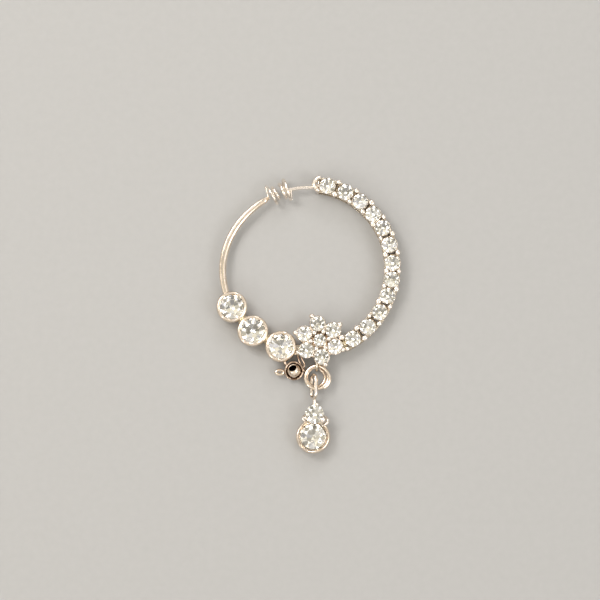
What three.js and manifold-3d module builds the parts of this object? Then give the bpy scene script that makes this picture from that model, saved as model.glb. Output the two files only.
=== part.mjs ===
import * as THREE from "three";
import { mergeVertices } from "three/addons/utils/BufferGeometryUtils.js";
import Module from "manifold-3d";

// Press-on nose ring lying on its back with the stones up.
// Millimetres, +Z up, +Y towards the two spiral pads that pinch the nostril.
// Everything is placed from the hoop's centre, then moved so that the origin is bottom centre.

const HOOP_RADIUS = 13;
const WIRE_HEIGHT = 1.72;

const STONE_SIDES = 12;
const STONE_DEPTH = 0.86;
const STONE_CROWN = 0.3;
const STONE_TABLE = 0.57;
const GIRDLE_HALF = 0.05;
const SEAT_CLEARANCE = 0.05;
const SLIVER = 0.015;
const CLAW_SIDES = 6;

const SIDE_WIRE_WIDTH = 1.06;
const TOP_WIRE_WIDTH = 0.62;
const LEFT_PAD_WIRE = 0.4;
const RIGHT_PAD_WIRE = 0.48;

const BEZEL_CENTRES = [[-11.7, -6.14], [-8.5, -9.83], [-4.2, -12.23]];
const BEZEL_RADIUS = 2.39;
const BEZEL_STONE_RADIUS = 1.95;
const BEZEL_GIRDLE = 2.5;

const LINE_ANGLES = [76.7, 63.7, 51.9, 39.4, 28, 15.6, 3, -8.4, -19.8, -32.3, -45.2, -58.2];
const LINE_FIRST_END = 83;
const LINE_LAST_END = -64.6;
const LINE_STONE_RADIUS = 1.125;
const LINE_COLLET_RADIUS = 1.27;
const LINE_GIRDLE = 2.5;
const LINE_CLAW_OFFSET = 1.02;

const FLOWER_CENTRE = [1.77, -11.3];
const PETAL_RING = 2.58;
const PETAL_ANGLES = [97, 37, -23, -83, -143, 157];
const PETAL_STONE_RADIUS = 1.08;
const PETAL_CUP_RADIUS = 1.26;
const PETAL_GIRDLE = 2.85;
const FLOWER_STONE_RADIUS = 0.9;
const FLOWER_GIRDLE = 3.1;
const OUTER_CLAW_RING = 3.95;
const OUTER_CLAW_ANGLES = [108, 38, -23, -77, -150.5, 163];
const INNER_CLAW_RING = 1.4;

const RING_CENTRE = [1.18, -16.9];
const RING_RADIUS = 1.41;
const RING_WIRE = 0.42;
const RING_LOW = 0.8;
const RING_PITCH = 0.43;
const RING_FROM = 62;
const RING_TO = -780;
const RING_WIDENS = 0.35;
const RING_SHIFTS = 0.16;
const RING_SPRINGS = 0.36;

const HANGER_X = 1.3;

const CUP_CENTRE = [-2.17, -15.9];
const CUP_GAP = 0.7;
const BEAD_RADIUS = 1.06;
const BEAD_HEIGHT = 1.45;

const CLAW_SETTING = [0.97, -22.67];
const CLAW_STONE_RADIUS = 1.42;
const CLAW_GIRDLE = 2.95;
const LOOSE_CLAW_WIRE = 0.38;
const DROP_BEZEL = [0.75, -26.01];
const DROP_STONE_RADIUS = 1.95;
const DROP_GIRDLE = 1.85;

const METAL = { color: 0xe4d6bd, roughness: 0.22, metalness: 1 };
const CRYSTAL = { color: 0xf1f2ee, roughness: 0.04, metalness: 0 };

const wasm = await Module();
wasm.setup();

// Placing

const radians = THREE.MathUtils.degToRad;

function around([x, y], radius, degrees) {
  return [x + radius * Math.cos(radians(degrees)), y + radius * Math.sin(radians(degrees))];
}

function onHoop(degrees, radius = HOOP_RADIUS) {
  return around([0, 0], radius, degrees);
}

function middle([ax, ay], [bx, by]) {
  return [(ax + bx) / 2, (ay + by) / 2];
}

// Solids

function asSolid(vertices, corners) {
  const mesh = new wasm.Mesh({ numProp: 3, vertProperties: vertices, triVerts: corners });
  return new wasm.Manifold(mesh);
}

function solid(geometry) {
  geometry.deleteAttribute("normal");
  geometry.deleteAttribute("uv");
  const merged = mergeVertices(geometry, 1e-4);
  const vertices = new Float32Array(merged.attributes.position.array);
  const corners = [];
  const index = merged.index.array;
  for (let i = 0; i < index.length; i += 3) {
    const [a, b, c] = [index[i], index[i + 1], index[i + 2]];
    if (a !== b && b !== c && c !== a) corners.push(a, b, c);
  }
  const made = asSolid(vertices, new Uint32Array(corners));
  return made.volume() < 0 ? asSolid(vertices, new Uint32Array(corners.reverse())) : made;
}

function joined(parts) {
  return wasm.Manifold.union(parts).simplify(SLIVER);
}

// The outer body alone, without specks or sealed pockets left by joining.
function oneBody(made) {
  return made.decompose().sort((a, b) => b.volume() - a.volume())[0];
}

// A profile of [radius, height] pairs turned about the vertical through a point.
function turned(profile, sides, [x, y], height = 0) {
  const points = profile.map(([radius, z]) => new THREE.Vector2(radius, z));
  const geometry = new THREE.LatheGeometry(points, sides);
  geometry.rotateX(Math.PI / 2);
  geometry.translate(x, y, height);
  return solid(geometry);
}

function roundOutline(width, height, sides) {
  const points = [];
  for (let i = 0; i < sides; i++) {
    const turn = (2 * Math.PI * (i + 0.5)) / sides;
    points.push(new THREE.Vector2((height / 2) * Math.cos(turn), (width / 2) * Math.sin(turn)));
  }
  return new THREE.Shape(points);
}

function wireAlong(curve, outline, steps) {
  return solid(
    new THREE.ExtrudeGeometry(outline, { extrudePath: curve, steps, bevelEnabled: false }),
  );
}

function wireThrough(points, thickness, steps, sides = 8) {
  const curve = new THREE.CatmullRomCurve3(points.map((p) => new THREE.Vector3(...p)));
  return wireAlong(curve, roundOutline(thickness, thickness, sides), steps);
}

function arcPoints(radius, from, to, steps) {
  const points = [];
  for (let i = 0; i <= steps; i++) {
    points.push(new THREE.Vector2(...onHoop(from + ((to - from) * i) / steps, radius)));
  }
  return points;
}

// A flat band that follows the hoop between two angles, pierced by round holes.
function band(from, to, radius, width, low, high, steps, holes = []) {
  const outer = arcPoints(radius + width / 2, from, to, steps);
  const inner = arcPoints(radius - width / 2, to, from, steps);
  const outline = new THREE.Shape([...outer, ...inner]);
  for (const [x, y, size] of holes) {
    const hole = new THREE.Path();
    hole.absarc(x, y, size, 0, 2 * Math.PI);
    outline.holes.push(hole);
  }
  const shape = { depth: high - low, bevelEnabled: false, curveSegments: 3 };
  return solid(new THREE.ExtrudeGeometry(outline, shape).translate(0, 0, low));
}

// A post with a rounded head, its head drawn out along the given direction.
function claw([x, y], foot, top, shaft, head, stretch = 1, facing = 0) {
  const profile = [
    [0, foot],
    [shaft, foot],
    [shaft, top - 0.6],
    [head, top - 0.34],
    [head * 0.82, top - 0.09],
    [0, top],
  ];
  const made = turned(profile, CLAW_SIDES, [0, 0]);
  return made.scale([stretch, 1, 1]).rotate([0, 0, facing]).translate([x, y, 0]);
}

function blob([x, y], z, radius, height) {
  const geometry = new THREE.SphereGeometry(radius, 8, 6).scale(1, 1, height / (2 * radius));
  return solid(geometry.rotateX(Math.PI / 2).translate(x, y, z));
}

// Stones: round cuts with a flat table, a thin girdle and a pointed underside.

function roundStone(centre, radius, girdle, grown = 0) {
  const wide = radius + grown;
  const profile = [
    [0, girdle - STONE_DEPTH * radius - grown * 1.4],
    [wide, girdle - GIRDLE_HALF - grown / 3],
    [wide, girdle + GIRDLE_HALF + grown / 3],
    [STONE_TABLE * radius + grown / 2, girdle + STONE_CROWN * radius + grown],
    [0, girdle + STONE_CROWN * radius + grown],
  ];
  return turned(profile, STONE_SIDES, centre);
}

function lineCentres() {
  return LINE_ANGLES.map((angle) => onHoop(angle));
}

function petalCentres() {
  return PETAL_ANGLES.map((angle) => around(FLOWER_CENTRE, PETAL_RING, angle));
}

// Hoop frame

function bezelCup(centre) {
  const profile = [
    [0, 0],
    [2.1, 0],
    [BEZEL_RADIUS, 1.2],
    [BEZEL_RADIUS, 2.72],
    [2.2, 2.98],
    [1.9, 2.92],
    [1.86, 2.74],
    [2.01, 2.58],
    [2.01, 2.4],
    [1.75, 2.1],
    [0.4, 0.5],
    [0, 0.5],
  ];
  return turned(profile, 24, centre);
}

function sideWire() {
  const radii = [[200, 13.2], [180, 13.19], [165, 12.97], [148, 12.75], [133, 12.46], [119, 12.42]];
  const path = radii.map(([angle, radius]) => [...onHoop(angle, radius), WIRE_HEIGHT]);
  const curve = new THREE.CatmullRomCurve3(path.map((p) => new THREE.Vector3(...p)));
  return wireAlong(curve, roundOutline(SIDE_WIRE_WIDTH, 0.92, 8), 18);
}

function topWire() {
  const path = [81, 87, 93, 99, 103.5].map((angle) => [
    ...onHoop(angle, angle < 85 ? 12.9 : 12.5),
    WIRE_HEIGHT,
  ]);
  return wireThrough(path, TOP_WIRE_WIDTH, 8, 8);
}

// A pinching pad: the wire's end wound about the hoop line, from its widest turn inwards.
function pad(start, end, turns, wide, narrow, lead, wire) {
  const points = [];
  const steps = Math.round(turns * 12);
  const away = Math.sign(start - end);
  points.push([...onHoop(start + away * 2.2, 12.5), WIRE_HEIGHT]);
  for (let i = 0; i <= steps; i++) {
    const part = i / steps;
    const radius = wide + (narrow - wide) * part;
    const turn = radians(lead) + 2 * Math.PI * turns * part;
    const angle = start + (end - start) * part;
    const out = 12.6 + radius * Math.cos(turn);
    points.push([...onHoop(angle, out), WIRE_HEIGHT + radius * Math.sin(turn)]);
  }
  return wireThrough(points, wire, steps + 3, 6);
}

function lineCollet(centre) {
  const profile = [
    [0.98, 1.62],
    [LINE_COLLET_RADIUS, 2.1],
    [LINE_COLLET_RADIUS, 2.52],
    [1.19, 2.52],
    [0.98, 1.62],
  ];
  return turned(profile, STONE_SIDES, centre);
}

function stoneLine() {
  const holes = lineCentres().map(([x, y]) => [x, y, 0.5]);
  const parts = [
    band(LINE_LAST_END, LINE_FIRST_END, HOOP_RADIUS, 1.9, 0, 0.55, 18, holes),
    band(LINE_LAST_END, LINE_FIRST_END, HOOP_RADIUS - 0.98, 0.34, 1.4, 1.8, 18),
    band(LINE_LAST_END, LINE_FIRST_END, HOOP_RADIUS + 0.98, 0.34, 1.4, 1.8, 18),
  ];
  const junctions = [LINE_FIRST_END];
  for (let i = 1; i < LINE_ANGLES.length; i++) {
    junctions.push((LINE_ANGLES[i - 1] + LINE_ANGLES[i]) / 2);
  }
  junctions.push(LINE_LAST_END);
  for (const centre of lineCentres()) parts.push(lineCollet(centre));
  for (const angle of junctions) {
    for (const side of [-1, 1]) {
      const foot = onHoop(angle, HOOP_RADIUS + side * LINE_CLAW_OFFSET);
      parts.push(claw(foot, 0.2, 2.96, 0.26, 0.4, 1.25, angle + 90));
    }
  }
  parts.push(band(LINE_FIRST_END - 1, LINE_FIRST_END + 1.4, HOOP_RADIUS, 2.2, 0.2, 1.9, 1));
  return joined(parts);
}

function petalCup(centre) {
  const profile = [
    [0.5, 0.8],
    [0.7, 0.8],
    [1.15, 2.4],
    [PETAL_CUP_RADIUS, 2.72],
    [PETAL_CUP_RADIUS, 2.94],
    [1.02, 2.94],
    [0.5, 0.8],
  ];
  return turned(profile, 16, centre);
}

function flower() {
  const [x, y] = FLOWER_CENTRE;
  const parts = [turned([[0, 0.55], [2.75, 0.55], [2.75, 1.05], [0, 1.05]], 18, [x, y])];
  parts.push(turned([[0.3, 0.8], [0.5, 0.8], [0.82, 2.9], [0.68, 2.9], [0.3, 0.8]], 10, [x, y]));
  for (const centre of petalCentres()) parts.push(petalCup(centre));
  for (const angle of OUTER_CLAW_ANGLES) {
    const top = around(FLOWER_CENTRE, OUTER_CLAW_RING, angle);
    const foot = around(FLOWER_CENTRE, 2.6, angle);
    parts.push(claw(top, 2, 3.42, 0.22, 0.37));
    parts.push(wireThrough([[...foot, 0.8], [...middle(foot, top), 1.5], [...top, 2.3]], 0.42, 2, 5));
  }
  for (const angle of PETAL_ANGLES) {
    const foot = around(FLOWER_CENTRE, INNER_CLAW_RING, angle + 30);
    parts.push(claw(foot, 0.8, 3.45, 0.2, 0.32));
  }
  return joined(parts);
}

// The round hanger below the flower that the split ring is threaded on.
function hanger() {
  const path = [
    [-12.9, 0.8],
    [-14.5, 0.32],
    [-15.55, 0.4],
    [-15.9, 1.2],
    [-15.55, 2.12],
    [-14.6, 2.3],
  ];
  return wireThrough(path.map(([y, z]) => [HANGER_X, y, z]), 0.4, 14, 8);
}

// The small cup for the drilled bead, with its eyelet, soldered on below the third bezel.
function beadCup() {
  const [x, y] = CUP_CENTRE;
  const profile = [
    [0, 0],
    [0.95, 0],
    [1.45, 0.6],
    [1.45, 1.72],
    [1.2, 1.72],
    [1.2, 0.85],
    [0.55, 0.3],
    [0, 0.3],
  ];
  const gap = new THREE.BoxGeometry(CUP_GAP, 1, 1).translate(x, y - 1.6, 1.7);
  const eyelet = new THREE.TorusGeometry(0.38, 0.17, 6, 14).scale(1.64, 1, 1);
  return joined([
    turned(profile, 16, CUP_CENTRE).subtract(solid(gap)),
    solid(eyelet.translate(x - 2.18, y - 0.2, 0.95)),
    wireThrough([[-3.28, -15.12, 1.2], [-3.5, -14.8, 1.35], [-3.7, -14, 1.5]], 0.5, 3, 6),
    wireThrough([[-0.75, -15.35, 1.3], [-1.2, -14.75, 1.3], [-1.75, -13.2, 0.95]], 0.3, 4, 6),
    wireThrough([[-0.85, -15.6, 1.4], [-0.55, -15, 1.5], [-1, -13.9, 1.3], [-1.2, -12.6, 0.9]], 0.28, 6, 6),
    blob([x + 1.42, y + 0.15], 1.3, 0.27, 1.1),
  ]);
}

function hoopFrame() {
  const parts = [
    sideWire(),
    topWire(),
    pad(117, 112.6, 2.05, 1.45, 0.8, 120, LEFT_PAD_WIRE),
    pad(104.3, 109.4, 2.05, 1.44, 0.9, 60, RIGHT_PAD_WIRE),
    stoneLine(),
    flower(),
    hanger(),
    beadCup(),
    band(-102, -63, HOOP_RADIUS, 1, 0.35, 1.15, 8),
    band(-112, -95, HOOP_RADIUS - 0.2, 1.6, 0.35, 1.4, 3),
    blob([4.95, -11.15], 1.5, 0.62, 1.5),
  ];
  for (const centre of BEZEL_CENTRES) parts.push(bezelCup(centre));
  parts.push(blob(middle(BEZEL_CENTRES[0], BEZEL_CENTRES[1]), 1.6, 0.62, 1.9));
  parts.push(blob(middle(BEZEL_CENTRES[1], BEZEL_CENTRES[2]), 1.6, 0.62, 1.9));
  const seats = petalCentres().map((centre) => {
    return roundStone(centre, PETAL_STONE_RADIUS, PETAL_GIRDLE, SEAT_CLEARANCE);
  });
  seats.push(roundStone(FLOWER_CENTRE, FLOWER_STONE_RADIUS, FLOWER_GIRDLE, SEAT_CLEARANCE));
  for (const centre of BEZEL_CENTRES) {
    seats.push(roundStone(centre, BEZEL_STONE_RADIUS, BEZEL_GIRDLE, SEAT_CLEARANCE));
  }
  return oneBody(joined(parts).subtract(joined(seats)).simplify(SLIVER));
}

// Split ring

// Two and a third turns, wound from the inner end. The second turn is wider than the first, and
// the last part lies on the second and springs outwards on the right.
function splitRing() {
  const [x, y] = RING_CENTRE;
  const points = [];
  for (let angle = RING_FROM; angle >= RING_TO; angle -= 13) {
    const second = THREE.MathUtils.smoothstep(-angle, 200, 330);
    const third = THREE.MathUtils.smoothstep(-angle, 560, 690);
    const sprung = THREE.MathUtils.smoothstep(-angle, 690, 730);
    const radius = RING_RADIUS + RING_WIDENS * second + RING_SPRINGS * sprung;
    const place = around([x + RING_SHIFTS * second, y], radius, angle);
    points.push([...place, RING_LOW + RING_PITCH * (second + third)]);
  }
  return wireThrough(points, RING_WIRE, 66, 8);
}

// Drop

function bail() {
  const outer = new THREE.Shape();
  outer.absarc(-17.3, 1.2, 0.96, -Math.PI / 2, Math.PI / 2);
  outer.absarc(-19.35, 1.2, 0.96, Math.PI / 2, (3 * Math.PI) / 2);
  const inner = new THREE.Path();
  inner.absarc(-17.3, 1.2, 0.7, -Math.PI / 2, Math.PI / 2);
  inner.absarc(-19.35, 1.2, 0.7, Math.PI / 2, (3 * Math.PI) / 2);
  outer.holes.push(inner);
  const rounded = { bevelEnabled: true, bevelThickness: 0.1, bevelSize: 0.07, bevelSegments: 1 };
  const geometry = new THREE.ExtrudeGeometry(outer, { depth: 0.34, curveSegments: 5, ...rounded });
  geometry.translate(0, 0, -0.17);
  const upright = new THREE.Matrix4().set(0, 0.43, 1, 0.37, 1, 0, 0, 0, 0, 1, 0, 0, 0, 0, 0, 1);
  return solid(geometry.applyMatrix4(upright));
}

// One of the two lower claws' loops, which stand off from the collet.
function looseClaw(angle, reach) {
  const bend = [[1.07, 27, 1.63], [reach * 0.9, 15, 2.2], [reach, 0, 2.5]];
  bend.push([reach * 0.9, -15, 2.2], [1.07, -27, 1.63]);
  const path = bend.map(([out, aside, z]) => [...around(CLAW_SETTING, out, angle + aside), z]);
  return wireThrough(path, LOOSE_CLAW_WIRE, 9, 6);
}

function clawSetting() {
  const [x, y] = CLAW_SETTING;
  const parts = [
    turned([[0, 0], [0.9, 0], [1.02, 0.7], [0, 0.7]], 14, [x, y]),
    turned([[0.95, 1.45], [1.2, 1.45], [1.27, 1.8], [1.03, 1.8], [0.95, 1.45]], 16, [x, y]),
    wireThrough([[0.94, -19.9, 1.2], [0.95, -21, 0.95], [0.97, -22, 0.5]], 0.66, 4, 8),
  ];
  for (const [angle, reach] of [[204, 1.85], [325, 2.1]]) parts.push(looseClaw(angle, reach));
  for (const [angle, size] of [[76, 0.3], [204, 0.3], [325, 0.36]]) {
    const foot = around(CLAW_SETTING, 0.75, angle);
    const knee = around(CLAW_SETTING, 1.28, angle);
    const tip = around(CLAW_SETTING, 1.56, angle);
    parts.push(wireThrough([[...foot, 0.3], [...knee, 1.5], [...tip, 2.8]], 0.5, 5, 6));
    parts.push(claw(tip, 2.5, 3.5, 0.24, size));
  }
  return joined(parts);
}

function dropBezel() {
  const profile = [
    [0, 0],
    [2.3, 0],
    [2.6, 0.8],
    [2.6, 2.15],
    [2.45, 2.4],
    [2.28, 2.38],
    [2.02, 1.95],
    [2.02, 1.75],
    [1.7, 1.5],
    [0.4, 0.15],
    [0, 0.15],
  ];
  return turned(profile, 28, DROP_BEZEL);
}

function dropFrame() {
  const seats = joined([
    roundStone(CLAW_SETTING, CLAW_STONE_RADIUS, CLAW_GIRDLE, SEAT_CLEARANCE),
    roundStone(DROP_BEZEL, DROP_STONE_RADIUS, DROP_GIRDLE, SEAT_CLEARANCE),
  ]);
  const link = blob([0.86, -23.7], 0.9, 0.8, 1.5);
  const metal = joined([bail(), clawSetting(), dropBezel(), link]);
  return oneBody(metal.subtract(seats).simplify(SLIVER));
}

// Side bead: a round bead whose drilled hole looks up and towards the pads.
function sideBead() {
  const [x, y] = CUP_CENTRE;
  const ball = new THREE.SphereGeometry(BEAD_RADIUS, 16, 10).rotateX(Math.PI / 2);
  const hole = new THREE.CylinderGeometry(0.36, 0.36, 0.9, 10).rotateX(radians(60));
  hole.translate(0, 0.45, 0.8);
  const drilled = solid(ball).subtract(solid(hole));
  return drilled.translate([x, y, BEAD_HEIGHT]);
}

// The whole ring

const ring = new THREE.Group();
ring.name = "nose_ring";

function piece(name, body, look) {
  const { vertProperties, triVerts } = body.getMesh();
  const geometry = new THREE.BufferGeometry();
  geometry.setAttribute("position", new THREE.BufferAttribute(new Float32Array(vertProperties), 3));
  geometry.setIndex(new THREE.BufferAttribute(new Uint32Array(triVerts), 1));
  geometry.computeVertexNormals();
  const mesh = new THREE.Mesh(geometry, new THREE.MeshStandardMaterial(look));
  mesh.name = name;
  ring.add(mesh);
}

function stones(prefix, centres, radius, girdle) {
  centres.forEach((centre, i) => piece(prefix + (i + 1), roundStone(centre, radius, girdle), CRYSTAL));
}

piece("hoop_frame", hoopFrame(), METAL);
piece("split_ring", splitRing(), METAL);
piece("drop_frame", dropFrame(), METAL);
piece("side_bead", sideBead(), METAL);
stones("bezel_stone_", BEZEL_CENTRES, BEZEL_STONE_RADIUS, BEZEL_GIRDLE);
stones("line_stone_", lineCentres(), LINE_STONE_RADIUS, LINE_GIRDLE);
stones("petal_stone_", petalCentres(), PETAL_STONE_RADIUS, PETAL_GIRDLE);
piece("flower_centre_stone", roundStone(FLOWER_CENTRE, FLOWER_STONE_RADIUS, FLOWER_GIRDLE), CRYSTAL);
piece("drop_stone_upper", roundStone(CLAW_SETTING, CLAW_STONE_RADIUS, CLAW_GIRDLE), CRYSTAL);
piece("drop_stone_lower", roundStone(DROP_BEZEL, DROP_STONE_RADIUS, DROP_GIRDLE), CRYSTAL);

const box = new THREE.Box3().setFromObject(ring);
const centre = box.getCenter(new THREE.Vector3());
ring.position.set(-centre.x, -centre.y, -box.min.z);

export default ring;
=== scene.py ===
import math

import bmesh
import bpy
from mathutils import Matrix, Vector, noise


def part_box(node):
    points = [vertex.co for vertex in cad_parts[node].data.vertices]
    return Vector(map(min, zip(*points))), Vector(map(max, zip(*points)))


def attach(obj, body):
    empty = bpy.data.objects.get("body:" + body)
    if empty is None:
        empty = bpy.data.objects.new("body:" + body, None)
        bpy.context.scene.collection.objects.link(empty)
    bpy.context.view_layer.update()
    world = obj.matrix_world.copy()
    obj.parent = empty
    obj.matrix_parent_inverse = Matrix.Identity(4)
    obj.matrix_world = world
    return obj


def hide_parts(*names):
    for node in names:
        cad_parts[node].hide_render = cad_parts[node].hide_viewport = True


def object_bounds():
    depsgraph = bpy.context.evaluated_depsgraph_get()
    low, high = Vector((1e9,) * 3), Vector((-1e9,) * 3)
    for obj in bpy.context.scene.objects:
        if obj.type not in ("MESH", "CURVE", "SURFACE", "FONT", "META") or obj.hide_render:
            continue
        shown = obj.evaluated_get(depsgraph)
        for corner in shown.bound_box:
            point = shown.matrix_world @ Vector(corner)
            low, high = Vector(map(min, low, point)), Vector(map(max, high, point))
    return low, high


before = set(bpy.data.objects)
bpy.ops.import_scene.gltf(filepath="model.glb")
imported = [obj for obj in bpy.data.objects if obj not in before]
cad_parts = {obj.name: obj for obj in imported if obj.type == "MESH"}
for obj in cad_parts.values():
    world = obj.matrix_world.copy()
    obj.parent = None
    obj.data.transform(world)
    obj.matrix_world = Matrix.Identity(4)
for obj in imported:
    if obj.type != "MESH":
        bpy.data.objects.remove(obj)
cad_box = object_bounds()
MM = 0.001


# Side wire: the thick left side of the hoop, drawn brass wire pressed slightly flat, with a fine
# seam along its top. It is bent to a slightly tighter curve towards the pad, where it is filed
# thinner, and its lower end is soldered into the wall of the first bezel cup.

HOOP_RADIUS = 13.0 * MM
WIRE_HEIGHT = 1.72 * MM
SEVENTH_STONE_ANGLE = 3.0


def middle_of(node):
    low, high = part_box(node)
    return (Vector(low) + Vector(high)) / 2


def polar(radius, degrees, height=0.0):
    turn = math.radians(degrees)
    return Vector((radius * math.cos(turn), radius * math.sin(turn), height))


seventh = middle_of("line_stone_7")
hoop_centre = Vector((seventh.x, seventh.y, 0)) - polar(HOOP_RADIUS, SEVENTH_STONE_ANGLE)


def on_hoop(degrees, radius=HOOP_RADIUS, height=0.0):
    return hoop_centre + polar(radius, degrees, height)


def smooth(part):
    part = min(max(part, 0.0), 1.0)
    return part * part * (3 - 2 * part)


def wire_frames(path):
    """A matrix at each point of a bent wire: Z along the wire, Y turned as little as can be."""
    frames = []
    last = len(path) - 1
    side = None
    for i, point in enumerate(path):
        along = (path[min(i + 1, last)] - path[max(i - 1, 0)]).normalized()
        if side is None:
            side = Vector((0, 0, 1)).cross(along)
            if side.length < 0.2:
                side = Vector((1, 0, 0)).cross(along)
        side = (side - along * side.dot(along)).normalized()
        turned = Matrix((side, along.cross(side), along)).transposed()
        frames.append(Matrix.Translation(point) @ turned.to_4x4())
    return frames


SEAM_DEPTH = 0.86


def pull_wire(bm, path, widths, heights=None, sides=16, seam=None):
    """Draws wire along a path, with a width and a height at each point, and closes both ends.

    seam is the corner of the section that is pressed in, counted round from the top.
    """
    heights = heights or widths
    start = bmesh.ops.create_circle(bm, cap_ends=True, radius=0.5, segments=sides)["verts"]
    if seam:
        start[seam].co *= SEAM_DEPTH
    stations = [
        place @ Matrix.Diagonal((width, height, 1, 1))
        for place, width, height in zip(wire_frames(path), widths, heights)
    ]
    bmesh.ops.transform(bm, matrix=stations[0], verts=start)
    end = start[0].link_faces[0]
    for before, after in zip(stations, stations[1:]):
        grown = bmesh.ops.extrude_face_region(bm, geom=[end, *end.edges])["geom"]
        end = next(item for item in grown if isinstance(item, bmesh.types.BMFace))
        bmesh.ops.transform(bm, matrix=after @ before.inverted(), verts=end.verts[:])


# How far each filed step stands past the wire's end, and its width, as parts of the wire's own
FILED_STEPS = [(0.25, 0.8), (0.42, 0.4)]


def rounded_ends(path, size, widths=None):
    """The wire's widths with both ends filed round, and the path lengthened for them."""
    widths = widths or [size] * len(path)
    start, start_width, before = path[0], widths[0], (path[0] - path[1]).normalized() * size
    end, end_width, after = path[-1], widths[-1], (path[-1] - path[-2]).normalized() * size
    for reach, share in FILED_STEPS:
        path = [start + before * reach, *path, end + after * reach]
        widths = [start_width * share, *widths, end_width * share]
    return path, widths


def ranged(nodes, low, high, start=0.0, end=1.0):
    """A node that turns the values from low to high into the values from start to end."""
    node = nodes.new("ShaderNodeMapRange")
    sockets = ("From Min", "From Max", "To Min", "To Max")
    for socket, value in zip(sockets, (low, high, start, end)):
        node.inputs[socket].default_value = value
    return node


def mixed(nodes, first=None, second=None, blend="MIX"):
    """A node that mixes two colours. Any other blend than MIX is laid on in full."""
    node = nodes.new("ShaderNodeMix")
    node.data_type = "RGBA"
    node.blend_type = blend
    if blend != "MIX":
        node.inputs["Factor"].default_value = 1
    for socket, colour in (("A", first), ("B", second)):
        if colour:
            node.inputs[socket].default_value = (*colour, 1)
    return node


# How strongly the painted shade towards the bottom, and the dull patches, darken the plate
PAINTED_SHADE_STRENGTH, PATCH_STRENGTH = 0.6, 0.3


def wear_and_shade_group():
    """Polished plate that has been handled: dull patches and fine scratches, with painted shade
    that darkens it towards the bottom.
    """
    group = bpy.data.node_groups.new("handled_and_shaded_plate", "ShaderNodeTree")
    face = group.interface
    for name, value in [("Patch Scale", 700.0), ("Scratch Scale", 9000.0), ("Dirt Height", 0.0016)]:
        socket = face.new_socket(name=name, in_out="INPUT", socket_type="NodeSocketFloat")
        socket.default_value = value
    for name in ("Shade And Tarnish", "Roughness", "Height"):
        face.new_socket(name=name, in_out="OUTPUT", socket_type="NodeSocketFloat")
    nodes, links = group.nodes, group.links
    given = nodes.new("NodeGroupInput")
    made = nodes.new("NodeGroupOutput")
    place = nodes.new("ShaderNodeTexCoord")

    patches = nodes.new("ShaderNodeTexNoise")
    patches.inputs["Detail"].default_value = 5
    links.new(place.outputs["Object"], patches.inputs["Vector"])
    links.new(given.outputs["Patch Scale"], patches.inputs["Scale"])

    turned = nodes.new("ShaderNodeMapping")
    turned.inputs["Rotation"].default_value = (0.3, 0.2, 0.9)
    turned.inputs["Scale"].default_value = (1, 0.06, 0.4)
    links.new(place.outputs["Object"], turned.inputs["Vector"])
    scratches = nodes.new("ShaderNodeTexNoise")
    scratches.inputs["Detail"].default_value = 3
    links.new(turned.outputs["Vector"], scratches.inputs["Vector"])
    links.new(given.outputs["Scratch Scale"], scratches.inputs["Scale"])

    parts = nodes.new("ShaderNodeSeparateXYZ")
    links.new(place.outputs["Object"], parts.inputs["Vector"])
    # Painted shade: the plate is darkest at the floor and lightens upwards, to none at the shade
    # height
    depth = ranged(nodes, 0, 1, 1, 0)
    links.new(parts.outputs["Z"], depth.inputs["Value"])
    links.new(given.outputs["Dirt Height"], depth.inputs["From Max"])

    patch = ranged(nodes, 0.42, 0.72)
    links.new(patches.outputs["Fac"], patch.inputs["Value"])
    dirt = nodes.new("ShaderNodeMath")
    dirt.operation = "MULTIPLY_ADD"
    dirt.inputs[1].default_value = PAINTED_SHADE_STRENGTH
    dirt.use_clamp = True
    faint = nodes.new("ShaderNodeMath")
    faint.operation = "MULTIPLY"
    faint.inputs[1].default_value = PATCH_STRENGTH
    links.new(patch.outputs["Result"], faint.inputs[0])
    links.new(depth.outputs["Result"], dirt.inputs[0])
    links.new(faint.outputs["Value"], dirt.inputs[2])
    links.new(dirt.outputs["Value"], made.inputs["Shade And Tarnish"])

    gloss = ranged(nodes, 0.3, 0.8, 0.1, 0.3)
    links.new(patches.outputs["Fac"], gloss.inputs["Value"])
    links.new(gloss.outputs["Result"], made.inputs["Roughness"])
    links.new(scratches.outputs["Fac"], made.inputs["Height"])
    return group


handled_and_shaded = wear_and_shade_group()


def plated(name, bright, shaded_dull, scratch_depth, **values):
    """A plated metal: bright where it is rubbed, and turned to its dark colour where it has dull
    patches and, towards the bottom, as painted shade.
    """
    material = bpy.data.materials.new(name)
    material.use_nodes = True
    nodes, links = material.node_tree.nodes, material.node_tree.links
    shader = nodes["Principled BSDF"]
    shader.inputs["Metallic"].default_value = 1.0
    wear_and_shade = nodes.new("ShaderNodeGroup")
    wear_and_shade.node_tree = handled_and_shaded
    for key, value in values.items():
        wear_and_shade.inputs[key.replace("_", " ").title()].default_value = value
    tone = mixed(nodes, bright, shaded_dull)
    links.new(wear_and_shade.outputs["Shade And Tarnish"], tone.inputs["Factor"])
    links.new(tone.outputs["Result"], shader.inputs["Base Color"])
    links.new(wear_and_shade.outputs["Roughness"], shader.inputs["Roughness"])
    bump = nodes.new("ShaderNodeBump")
    bump.inputs["Strength"].default_value = scratch_depth
    bump.inputs["Distance"].default_value = 0.02 * MM
    links.new(wear_and_shade.outputs["Height"], bump.inputs["Height"])
    links.new(bump.outputs["Normal"], shader.inputs["Normal"])
    return material


# Champagne plate: its slight pink is partly the plate's own rose tone and partly a painted
# reflection of red surroundings
champagne = plated(
    "champagne_plate", (0.86, 0.745, 0.62), (0.5, 0.36, 0.25), 0.12, dirt_height=0.0014
)


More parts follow.
